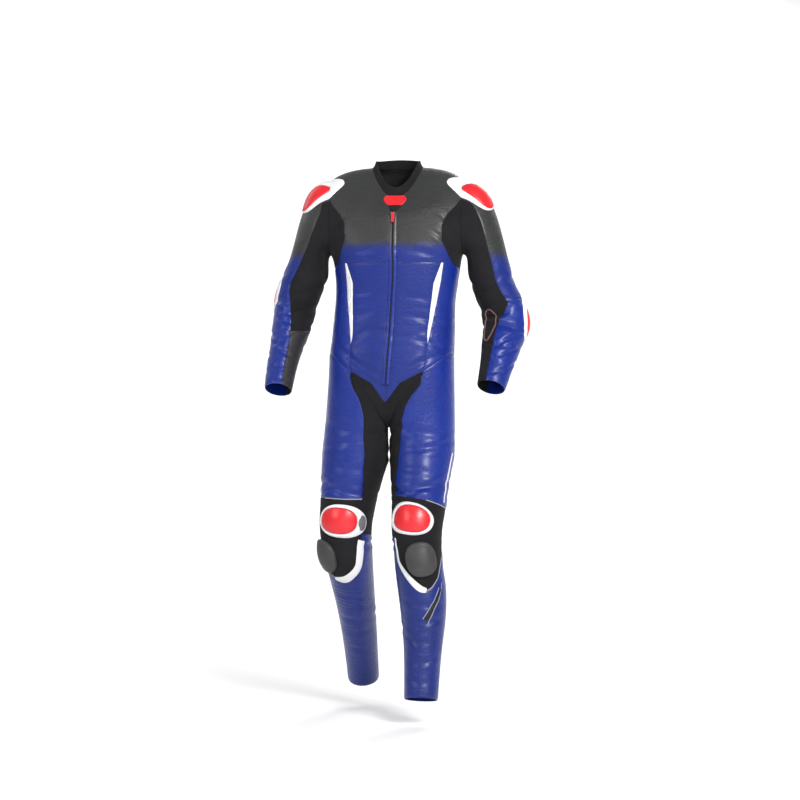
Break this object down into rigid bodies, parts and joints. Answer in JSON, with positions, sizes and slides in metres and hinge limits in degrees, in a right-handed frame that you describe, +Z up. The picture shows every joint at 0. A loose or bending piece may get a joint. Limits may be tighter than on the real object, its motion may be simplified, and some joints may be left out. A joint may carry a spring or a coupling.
{
  "type": "motorcycle race suit",
  "caption": "One-piece motorcycle race suit in worn, hollow form, with stretch panels, a front zip, moulded shoulder, elbow and knee cups and domed knee sliders.",
  "frame": {"origin": "the middle of the shoulder line at the foot of the collar, where the wearer's shoulders carry the suit", "axes": "+Z up, the front faces -Y, +X to the wearer's left"},
  "size_m": [0.7075, 0.4386, 1.4495],
  "materials": {
    "blue_leather": "satin",
    "shin_leather": "satin",
    "charcoal_leather": "matt, perforated",
    "white_leather": "satin",
    "black_leather": "satin",
    "black_stretch": "matt",
    "collar_knit": "matt",
    "zip_tape": "matt",
    "white_cup": "satin",
    "red_insert": "satin",
    "knee_slider": "worn matt",
    "zip_metal": "satin",
    "pull_tab": "matt"
  },
  "bodies": {
    "suit": {"collar": "collar_knit", "chest_right": "charcoal_leather", "chest_left": "charcoal_leather", "back": "blue_leather", "underarm_right": "black_stretch", "main_zip": "zip_tape", "underarm_left": "black_stretch", "flank_right": "blue_leather", "front_right": "blue_leather", "stripe_right": "white_leather", "front_left": "blue_leather", "stripe_left": "white_leather", "flank_left": "blue_leather", "seat": "blue_leather", "gusset": "black_stretch", "sleeve_upper_right": "charcoal_leather", "inner_sleeve_right": "black_stretch", "sleeve_lower_right": "blue_leather", "inner_forearm_right": "black_stretch", "sleeve_upper_left": "charcoal_leather", "inner_sleeve_left": "black_stretch", "sleeve_lower_left": "blue_leather", "inner_forearm_left": "black_stretch", "thigh_front_right": "blue_leather", "inner_leg_right": "black_stretch", "thigh_back_right": "blue_leather", "knee_panel_right": "black_stretch", "knee_back_right": "black_stretch", "shin_right": "shin_leather", "calf_right": "shin_leather", "thigh_front_left": "blue_leather", "inner_leg_left": "black_stretch", "thigh_back_left": "blue_leather", "knee_panel_left": "black_stretch", "knee_back_left": "black_stretch", "shin_left": "shin_leather", "calf_left": "shin_leather", "knee_cup_right": "white_cup", "knee_insert_right": "red_insert", "knee_slider_right": "knee_slider", "elbow_cup_right": "white_cup", "elbow_insert_right": "red_insert", "shoulder_cup_right": "white_cup", "shoulder_insert_right": "red_insert", "knee_band_right": "white_leather", "knee_cup_left": "white_cup", "knee_insert_left": "red_insert", "knee_slider_left": "knee_slider", "elbow_cup_left": "white_cup", "elbow_insert_left": "red_insert", "shoulder_cup_left": "white_cup", "shoulder_insert_left": "red_insert", "knee_band_left": "white_leather", "neck_badge": "red_insert", "zip_flap": "black_leather", "zip_slider": "zip_metal"},
    "pull_tab": {"pull_tab": "pull_tab"}
  },
  "joints": [
    {"name": "pull_tab_hinge", "type": "hinge", "parent": "suit", "child": "pull_tab", "pos_m": [0.00026, -0.10802, -0.12048], "axis": [-1, 0, 0], "range_deg": [0, 110]}
  ]
}
